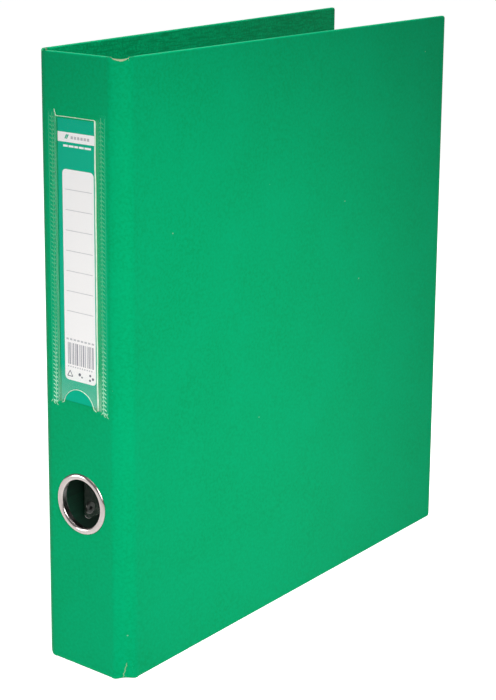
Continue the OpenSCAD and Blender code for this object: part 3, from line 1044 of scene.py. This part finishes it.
@dataclass
class FingerRing:
    """The rolled nickel ring in the finger hole and its backing washer."""

    layout: Layout
    centre_z: float = 89.5
    inner_r: float = 12.6
    outer_r: float = 16.0
    proud: float = 1.1
    wall: float = 0.55
    depth: float = 3.0
    flare: float = 0.9

    def build(self) -> None:
        """Make the ring and the washer."""
        place = self.layout.face.raised(0, 0, self.centre_z)
        out = place.x_axis
        half = (self.outer_r - self.inner_r) / 2
        mid = self.inner_r + half
        crown = [(mid + half * x, self.proud * y) for x, y in arc((0.0, 0.0), 1.0, 0, 180, 15)]
        back = self.inner_r + self.flare
        sleeve = [(back, -self.depth), *arc((back + 0.9, -self.depth), 0.9, 180, 270, 5),
                  (back + 1.9, -self.depth - 0.9), (back + 1.9, -self.depth - 0.5),
                  (back + 1.0, -self.depth - 0.4), (back + self.wall, -self.depth)]
        profile = crown + sleeve + [(self.inner_r + self.wall, 0.0)]
        # The sleeve faces inside the hole take a near-black finish: painted shade.
        ring = piece_from("finger_ring_shell", *lathe(profile, place, out, 216), [CHROME, SHADED_SLEEVE],
                          lambda n: 1 if n % len(profile) >= len(crown) - 1 else 0)
        even_normals(ring, 50.0)
        settle(ring, "spine", "ring_nickel", "finger_ring")
        inner, outer = self.inner_r + 1.7, self.inner_r + 4.2
        base = -self.depth + 0.3
        rim = [(inner, base), (inner, base - 0.5), (outer - 0.4, base - 0.5), (outer - 0.1, base - 0.35),
               (outer, base)]
        washer = piece_from("finger_ring_washer", *lathe(rim, place, out, 96), [PLATE])
        even_normals(washer, 40.0)
        settle(washer, "spine", "ring_nickel", "finger_ring_backing")


# ---------------------------------------------------------------- label

def weld_tree() -> bpy.types.NodeTree:
    """Build the node tree that repeats a slanted ridge along a weld.

    Returns:
        A Geometry Nodes tree with inputs Count, Pitch, Width, Slant, Ridge, Jitter, Bead and Material.
    """
    tree = bpy.data.node_groups.new("weld_ridges", "GeometryNodeTree")
    face = tree.interface
    face.new_socket("Geometry", in_out="INPUT", socket_type="NodeSocketGeometry")
    kinds = {"Count": "Int", "Material": "Material"}
    for name in ("Count", "Pitch", "Width", "Slant", "Ridge", "Jitter", "Bead", "Material"):
        face.new_socket(name, in_out="INPUT", socket_type=f"NodeSocket{kinds.get(name, 'Float')}")
    face.new_socket("Geometry", in_out="OUTPUT", socket_type="NodeSocketGeometry")
    nodes = Nodes(tree)
    given = nodes.add("NodeGroupInput").outputs
    step = nodes.vector(Z=given["Pitch"])
    line = nodes.first("GeometryNodeMeshLine", {"Count": given["Count"], "Offset": step})
    points = nodes.first("GeometryNodeMeshToPoints", {"Mesh": line})
    drift = nodes.add("FunctionNodeRandomValue", {"Seed": 11}, data_type="FLOAT_VECTOR")
    nodes.feed(drift, {0: (-1, 0, -1), 1: (1, 0, 1)})
    moved = nodes.first("ShaderNodeVectorMath", {0: drift.outputs[0], "Scale": given["Jitter"]},
                        operation="SCALE")
    points = nodes.first("GeometryNodeSetPosition", {"Geometry": points, "Offset": moved})
    half = nodes.math("MULTIPLY", given["Width"], 0.5)
    start = nodes.vector(X=nodes.math("MULTIPLY", half, -1.0), Z=given["Slant"])
    end = nodes.vector(X=half, Z=nodes.math("MULTIPLY", given["Slant"], -1.0))
    bow = nodes.vector(Z=nodes.math("MULTIPLY", given["Ridge"], 0.6))
    curve = nodes.first("GeometryNodeCurveQuadraticBezier",
                        {"Resolution": 6, "Start": start, "Middle": bow, "End": end})
    swell = nodes.span(nodes.first("GeometryNodeSplineParameter"), 0.0, 1.0, 1.25, 0.8)
    curve = nodes.first("GeometryNodeSetCurveRadius", {"Curve": curve, "Radius": swell})
    profile = nodes.first("GeometryNodeCurvePrimitiveCircle", {"Resolution": 6, "Radius": given["Ridge"]})
    ridge = nodes.first("GeometryNodeCurveToMesh",
                        {"Curve": curve, "Profile Curve": profile, "Fill Caps": True})
    spread = nodes.add("FunctionNodeRandomValue", {"Seed": 5, 2: 0.82, 3: 1.12}, data_type="FLOAT")
    each = nodes.first("GeometryNodeInstanceOnPoints",
                       {"Points": points, "Instance": ridge, "Scale": spread.outputs[1]})
    bead = nodes.first("GeometryNodeMeshIcoSphere",
                       {"Radius": nodes.math("MULTIPLY", given["Ridge"], 1.5), "Subdivisions": 2})
    aside = nodes.vector(X=nodes.math("MULTIPLY", given["Width"], given["Bead"]))
    bead = nodes.first("GeometryNodeTransform",
                       {"Geometry": bead, "Translation": aside, "Scale": (1.0, 0.5, 1.3)})
    beads = nodes.first("GeometryNodeInstanceOnPoints", {"Points": points, "Instance": bead})
    both = nodes.add("GeometryNodeJoinGeometry")
    for part in (each, beads):
        tree.links.new(part, both.inputs[0])
    real = nodes.first("GeometryNodeRealizeInstances", {"Geometry": both.outputs[0]})
    smooth = nodes.first("GeometryNodeSetShadeSmooth", {"Geometry": real})
    done = nodes.first("GeometryNodeSetMaterial", {"Geometry": smooth, "Material": given["Material"]})
    nodes.add("NodeGroupOutput", {"Geometry": done})
    return tree


@dataclass
class LabelPocket:
    """The clear pocket on the face of the spine, welded along both sides."""

    place: Place
    half: float = 18.9
    weld: float = 4.2
    low: float = 142.0
    high: float = 287.0
    proud: float = 0.85
    bend: float = 12.7
    film_t: float = 0.16
    thumb_half: float = 10.0
    thumb_h: float = 8.0
    pitch: float = 2.1
    bed_t: float = 0.12
    strands: tuple[Point, ...] = ((-1.5, -1.1, 1.3), (-0.6, 0.8, 2.1), (0.3, -0.9, 1.7), (1.1, 0.9, 2.4),
                                  (1.7, -0.6, 1.2))

    @staticmethod
    def clear(piece: Piece, *nodes: str) -> None:
        """Let a clear piece ride on the spine; it lets light through, so it casts no shadow."""
        piece.visible_shadow = False
        settle(piece, "spine", "pocket_film", *nodes)

    def film_height(self, y: float, z: float) -> float:
        """Return the film's height above the foil, with a gentle bulge."""
        inner = self.half - self.weld
        share = (inner - abs(y)) / (inner - self.bend)
        if share < 1:
            return self.bed_t + (self.proud - self.bed_t) * max(share, 0.0)
        return self.proud - 0.06 * math.cos(math.pi * y / self.bend) * math.sin(0.05 * z)

    def bottom(self, y: float) -> float:
        """Return the film's lower edge, with the thumb cut as an arc."""
        radius = (self.thumb_half ** 2 + self.thumb_h ** 2) / (2 * self.thumb_h)
        if abs(y) >= self.thumb_half:
            return self.low
        return self.low + math.sqrt(radius ** 2 - y * y) - (radius - self.thumb_h)

    def film(self) -> None:
        """Make the film between the welds."""
        inner = self.half - self.weld
        edge = [-inner, -(inner + self.bend) / 2]
        body = [-self.bend + 2 * self.bend * i / 40 for i in range(41)]
        columns = edge + body + [-y for y in reversed(edge)]
        rings, rows = [], 48
        for i in range(rows + 1):
            row = []
            for y in columns:
                lean = max(0.0, (abs(y) - self.bend) / (inner - self.bend))
                top = self.high + 2.2 * lean * (1 if y < 0 else 0.3)
                low = self.bottom(y) - 0.8 * lean
                z = low + (top - low) * (i / rows)
                row.append(self.place.point(self.film_height(y, z), y, z))
            rings.append(row)
        film = piece_from("pocket_film_sheet", *loft(rings, False, False), [FILM])
        thick = film.modifiers.new("thickness", "SOLIDIFY")
        thick.thickness = self.film_t * MM
        thick.offset = 0.0
        bake(film)
        back = self.place.matrix().inverted()

        # Share of the painted reflection on the leaning film, weaker on the front cover's side.
        def reflection_share_of(at: Vector) -> float:
            y = (back @ at).y / MM
            return min(1.0, max(0.0, (abs(y) - self.bend + 0.1) / 0.6)) * (1.0 if y < 0 else 0.3)

        mark(film, "lean", reflection_share_of)
        self.clear(film, "label_pocket")

    def edges(self) -> None:
        """Make the pale lines where the film is cut or folded: top, thumb cut and both bends. The top, the
        thumb cut and the front bend are pale as a painted highlight.
        """
        def line(name: str, route: list[Flat], radius: float, finish: Finish = FILM_EDGE_HIGHLIGHT) -> None:
            path = [self.place.point(self.film_height(y, z) + 0.06, y, z) for y, z in route]
            self.clear(piece_from(name, *tube(path, radius, 8), [finish]))

        top = [(-self.bend + 2 * self.bend * i / 20, self.high) for i in range(21)]
        inner = self.half - self.weld
        rise = [(-inner + 0.3, self.high + 3.0), (-self.bend - 0.6, self.high + 1.0)]
        line("pocket_top_edge", rise + top, 0.17)
        across = [self.thumb_half * math.sin(math.radians(a)) for a in range(-90, 91, 6)]
        cut = [(-self.thumb_half - 1.2, self.low - 0.5), *((y, self.bottom(y)) for y in across),
               (self.thumb_half + 1.6, self.low - 0.9)]
        line("pocket_thumb_edge", cut, 0.15)
        rows = [self.low - 0.2 + (self.high - self.low) * i / 40 for i in range(41)]
        line("pocket_front_fold", [(self.bend + 0.06 * math.sin(0.23 * z), z) for z in rows], 0.36)
        line("pocket_back_fold", [(-self.bend + 0.1 * math.sin(0.11 * z), z) for z in rows], 0.20, FOLD)

    def welds(self) -> None:
        """Make the bed of each weld and its row of slanted ridges."""
        tree = weld_tree()
        sockets = {s.name: s.identifier for s in tree.interface.items_tree if s.in_out == "INPUT"}
        low, high = self.low - 1.0, self.high + 2.4
        for side in Side:
            middle = side.value * (self.half - self.weld / 2 - 0.1)
            seed = bpy.data.objects.new(f"weld_{side.word}", bpy.data.meshes.new(f"weld_{side.word}"))
            bpy.context.scene.collection.objects.link(seed)
            grown = seed.modifiers.new("ridges", "NODES")
            grown.node_group = tree
            values = {"Count": int((high - low) / self.pitch), "Pitch": self.pitch * MM, "Width": 1.7 * MM,
                      "Slant": 0.5 * MM, "Ridge": 0.27 * MM, "Jitter": 0.07 * MM, "Bead": -0.85 * side.value,
                      "Material": WELD.material()}
            for name, value in values.items():
                grown[sockets[name]] = value
            bake(seed)
            seed.data.transform(Matrix.Translation(self.place.point(self.bed_t, middle, low)))
            seed.name = f"{side.word}_weld_ridges"
            self.clear(seed)
            self.bed(side)
            self.rail(side)
            self.frays(side)

    def rail(self, side: Side) -> None:
        """Make the two rails of a weld: a plain inner one and a faint, wavy outer one."""
        rows = [self.low - 1.0 + 0.35 * i for i in range(int((self.high - self.low + 3) / 0.35))]
        for name, inset, wave, radius, finish in (("inner", 3.05, 0.04, 0.17, WELD),
                                                  ("outer", 0.75, 0.1, 0.16, RAIL)):
            path = [self.place.point(self.bed_t + 0.05, side.value * (self.half - inset)
                                     + wave * math.sin(2 * math.pi * z / self.pitch), z) for z in rows]
            self.clear(piece_from(f"{side.word}_weld_{name}_rail", *tube(path, radius, 8), [finish]))

    def frays(self, side: Side) -> None:
        """Make the loose strands at a weld's lower end."""
        middle = side.value * (self.half - self.weld / 2)
        for i, (start, lean, drop) in enumerate(self.strands):
            path = [self.place.point(self.bed_t + 0.35 * math.sin(math.pi * t), middle + start + lean * t * t,
                                     self.low - 0.6 - drop * t) for t in (k / 6 for k in range(7))]
            self.clear(piece_from(f"{side.word}_weld_strand_{i}", *tube(path, 0.17, 8), [WELD]))

    def bed(self, side: Side) -> None:
        """Make the flat welded band."""
        sign = side.value
        inner, outer = self.half - self.weld, self.half
        profile = [(inner, 0.0), (inner + 0.1, self.bed_t), (outer - 0.1, self.bed_t), (outer, 0.0)]
        low, high = self.low - 1.2, self.high + 2.6
        rings, rows = [], 70
        for i in range(rows + 1):
            z = low + (high - low) * i / rows
            sway = 0.05 * math.sin(1.7 * i)
            rings.append([self.place.point(h, sign * (y + (sway if h > 0 else 0)), z) for y, h in profile])
        bed = piece_from(f"{side.word}_weld_bed", *loft(rings, True, True), [WELD_BED])
        even_normals(bed, 40.0)
        self.clear(bed)

    def build(self) -> None:
        """Make the pocket."""
        self.film()
        self.edges()
        self.welds()


@dataclass
class LabelCard:
    """The card in the pocket, printed with a writing panel."""

    place: Place
    half: float = 12.0
    low: float = 143.0
    high: float = 286.0
    back: float = 0.22
    thick: float = 0.22
    panel_start: float = -9.3
    panel_end: float = 11.2
    panel_low: float = 154.2
    panel_high: float = 261.2
    panel_r: float = 2.3
    line_top: float = 251.2
    line_step: float = 10.22
    ink_t: float = 0.012

    def patch(self, outline: Sequence[Flat], level: int) -> Surface:
        """Return a thin printed patch on the card with the given (y, z) outline."""
        base = self.back + self.thick
        heights = (base + self.ink_t * (level - 1), base + self.ink_t * level)
        rings = [[self.place.point(x, y, z) for y, z in outline] for x in heights]
        return loft(rings, True, True)

    @staticmethod
    def rounded(y0: float, z0: float, y1: float, z1: float, r: float) -> list[Flat]:
        """Return a rectangle with round corners."""
        return [*arc((y1 - r, z0 + r), r, -90, 0, 6), *arc((y1 - r, z1 - r), r, 0, 90, 6),
                *arc((y0 + r, z1 - r), r, 90, 180, 6), *arc((y0 + r, z0 + r), r, 180, 270, 6)]

    @staticmethod
    def bar(y0: float, z0: float, y1: float, z1: float) -> list[Flat]:
        """Return a plain rectangle."""
        return [(y0, z0), (y1, z0), (y1, z1), (y0, z1)]

    def print_job(self, name: str, outlines: Sequence[Sequence[Flat]], level: int, finish: Finish) -> None:
        """Join patches of one ink into a piece."""
        points: list[Vector] = []
        faces: list[list[int]] = []
        for outline in outlines:
            more, sides = self.patch(outline, level)
            faces += [[i + len(points) for i in side] for side in sides]
            points += more
        settle(piece_from(name, points, faces, [finish], smooth=False), "card", "label_paper")

    def sheet(self) -> None:
        """Make the card itself."""
        section = [(self.back, -self.half), (self.back, self.half), (self.back + self.thick, self.half),
                   (self.back + self.thick, -self.half)]
        levels = [self.low + (self.high - self.low) * i / 40 for i in range(41)]
        rings = [[self.place.point(x, y, z) for x, y in section] for z in levels]
        card = piece_from("label_card_sheet", *loft(rings, True, True), [CARD], smooth=False)
        settle(card, "card", "label_paper", "label_card")

    def triangle(self, y: float, z: float, r: float) -> list[list[Flat]]:
        """Return the three bars of a triangle outline."""
        corners = arc((y, z), r, 90, 330, 2)
        return [self.stroke(corners[i], corners[(i + 1) % 3], 0.42) for i in range(3)]

    @staticmethod
    def stroke(a: Flat, b: Flat, width: float) -> list[Flat]:
        """Return a straight stroke from a to b."""
        length = math.hypot(b[0] - a[0], b[1] - a[1])
        y, z = -(b[1] - a[1]) / length * width / 2, (b[0] - a[0]) / length * width / 2
        return [(a[0] + y, a[1] + z), (b[0] + y, b[1] + z), (b[0] - y, b[1] - z), (a[0] - y, a[1] - z)]

    def build(self) -> None:
        """Make the card and its print."""
        self.sheet()
        panel = self.rounded(self.panel_start, self.panel_low, self.panel_end, self.panel_high, self.panel_r)
        header = self.bar(-self.half, 274.6, self.half, 279.4)
        words = (-8.4, -5.4, -4.9, -1.6, -1.1, 1.4, 1.9, 5.0, 5.5, 9.6)
        tagline = [self.bar(a, 272.2, b, 273.2) for a, b in zip(words[::2], words[1::2])]
        self.print_job("label_white_print", [panel, header, *tagline], 1, WHITE)
        levels = [self.line_top - self.line_step * i for i in range(7)]
        lines = [self.bar(self.panel_start + 1.8, z - 0.15, self.panel_end - 1.3, z + 0.15) for z in levels]
        dashes = [self.bar(-8.2 + 2.4 * i, 174.9, -6.6 + 2.4 * i, 175.8) for i in range(8)]
        marks = [self.bar(-7.4 + 1.55 * i, 160.9, -6.6 + 1.55 * i, 161.6) for i in range(11)]
        stamp = [self.bar(-3.4 + 2.1 * i, 276.3, -1.9 + 2.1 * i, 277.7) for i in range(6)]
        self.print_job("label_grey_print", [*lines, *dashes, *marks, *stamp], 2, GREY_INK)
        badge = [self.stroke((y, 276.2), (y + 1.2, 278.4), 0.7) for y in (-7.2, -6.2)]
        self.print_job("label_badge_print", badge, 2, CARD)
        widths = (0.5, 0.9, 0.4, 0.7, 0.5, 1.1, 0.4, 0.6, 0.9, 0.5, 0.4, 0.8, 0.5, 0.9)
        gaps = (0.45, 0.7, 0.5, 0.6, 0.45, 0.9, 0.5, 0.7, 0.5, 0.9, 0.6, 0.5, 0.7, 0.0)
        bars, y = [], -7.3
        for width, gap in zip(widths, gaps):
            bars.append(self.bar(y, 162.4, y + width, 173.6))
            y += width + gap
        self.print_job("label_bar_print", bars, 2, BAR_INK)
        dots = ((0.4, 158.0, 0.85), (1.9, 156.9, 0.5), (7.4, 158.8, 0.65), (9.2, 157.3, 0.7),
                (7.2, 156.3, 0.65))
        signs = self.triangle(-6.0, 157.2, 2.0) + [arc((y, z), r, 0, 330, 11) for y, z, r in dots]
        self.print_job("label_sign_print", signs, 2, DARK_INK)


# ---------------------------------------------------------------- mechanism

@dataclass
class Mechanism:
    """The lever arch mechanism on the inside of the back cover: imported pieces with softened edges."""

    plate_edge: float = 0.14
    turned_edge: float = 0.25

    def build(self) -> None:
        """Make every piece of the mechanism."""
        plate = refined("base_plate", "base_plate_pressing", PLATE, self.plate_edge)
        settle(plate, "back_cover", "plate_nickel")
        for node, body, finish, slot, bevel in (
                ("arch_wire", "arch", WIRE, "wire_nickel", 0.0),
                ("lower_post", "back_cover", WIRE, "wire_nickel", self.turned_edge),
                ("upper_post", "back_cover", WIRE, "wire_nickel", self.turned_edge),
                ("lever", "lever", PLATE, "plate_nickel", 0.18),
                ("lever_pin", "back_cover", WIRE, "wire_nickel", 0.2),
                ("roller", "roller", ROLLER, "roller_plastic", 0.3),
                ("roller_pin", "lever", WIRE, "wire_nickel", 0.15),
                ("mechanism_rivets", "back_cover", DARKENED_RIVET, "wire_nickel", self.turned_edge),
                ("compressor_bar", "compressor", PLATE, "plate_nickel", 0.16),
                ("compressor_catch", "catch", CATCH, "catch_plastic", self.turned_edge)):
            settle(refined(node, f"{node}_finished", finish, bevel), body, slot)


# ---------------------------------------------------------------- studio

@dataclass
class Studio:
    """Floor, backdrop light and camera."""

    eye: Point = (0.5268, -0.7078, 0.4125)
    azimuth: float = 36.688
    elevation: float = 11.747
    roll: float = 0.463
    lens: float = 83.51
    shift_y: float = -0.2286
    sky: float = 0.318
    floor_half: float = 6.0

    def camera(self) -> None:
        """Place the camera."""
        data = bpy.data.cameras.new("camera")
        data.sensor_width = 36.0
        data.lens = self.lens
        data.shift_y = self.shift_y
        data.clip_start, data.clip_end = 0.01, 100.0
        cam = bpy.data.objects.new("camera", data)
        a, e = math.radians(self.azimuth), math.radians(self.elevation)
        back = Vector((math.sin(a) * math.cos(e), -math.cos(a) * math.cos(e), math.sin(e)))
        turn = (-back).to_track_quat("-Z", "Y").to_matrix() @ Matrix.Rotation(math.radians(self.roll), 3, "Z")
        cam.matrix_world = Matrix.Translation(self.eye) @ turn.to_4x4()
        bpy.context.scene.collection.objects.link(cam)
        bpy.context.scene.camera = cam

    def lamp(self, name: str, at: Point, size: float, power: float, spread: float, aim: Point) -> None:
        """Add a soft square lamp.

        Args:
            name: The lamp's name.
            at: Where it stands, in metres.
            size: Its side in metres.
            power: Its power in watts.
            spread: How wide it shines, in degrees.
            aim: The point that it is turned to.
        """
        data = bpy.data.lights.new(name, "AREA")
        data.size = size
        data.energy = power
        data.spread = math.radians(spread)
        made = bpy.data.objects.new(name, data)
        made.location = at
        made.rotation_mode = "QUATERNION"
        made.rotation_quaternion = (Vector(aim) - Vector(at)).to_track_quat("-Z", "Y")
        bpy.context.scene.collection.objects.link(made)

    def floor(self) -> None:
        """Make the pale floor."""
        signs = ((-1, -1), (1, -1), (1, 1), (-1, 1))
        corners = [Vector((x * self.floor_half, y * self.floor_half, 0)) for x, y in signs]
        plane = piece_from("studio_floor", corners, [[0, 1, 2, 3]], [FloorFinish()], smooth=False)
        if plane.data.polygons[0].normal.z < 0:
            plane.data.flip_normals()
        plane.visible_diffuse = False

    def build(self) -> None:
        """Light the scene and place the camera."""
        self.camera()
        self.floor()
        world = bpy.data.worlds.new("studio_world")
        world.use_nodes = True
        light = world.node_tree.nodes["Background"].inputs
        light["Color"].default_value = (1.0, 1.0, 1.0, 1.0)
        light["Strength"].default_value = self.sky
        bpy.context.scene.world = world
        bpy.context.scene.view_settings.view_transform = "Standard"
        self.lamp("key", (0.40, -0.306, 0.367), 0.4, 0.545, 44.7, (0.033, -0.055, 0.08))
        self.lamp("fill", (-0.60, -0.80, 0.204), 0.36, 0.30, 53.0, (0.10, -0.14, -0.02))
        self.lamp("top", (0.12, -0.05, 1.1), 0.6, 3.7, 180.0, (0.0, 0.0, 0.3))
        self.lamp("back", (-0.7, 0.6, 0.9), 0.6, 4.0, 180.0, (0.0, 0.0, 0.2))


def main() -> None:
    """Build the file and its studio."""
    logging.basicConfig(level=logging.INFO, format="%(message)s")
    sheets = Sheets()
    layout = Layout(sheets)
    Studio().build()
    for side in Side:
        word = side.word
        CoverPanel(layout, word, f"{word}_cover", layout.cover_place(side), sheets.seam, layout.cover).build()
        Hinge(layout, side, worn=side is Side.FRONT).build()
    half = layout.half_spine - sheets.seam
    SpinePanel(layout, "spine", "spine", layout.spine_place(), -half, half).build()
    FingerRing(layout).build()
    LabelPocket(layout.face).build()
    LabelCard(layout.face).build()
    Mechanism().build()


if __name__ == "__main__":
    main()
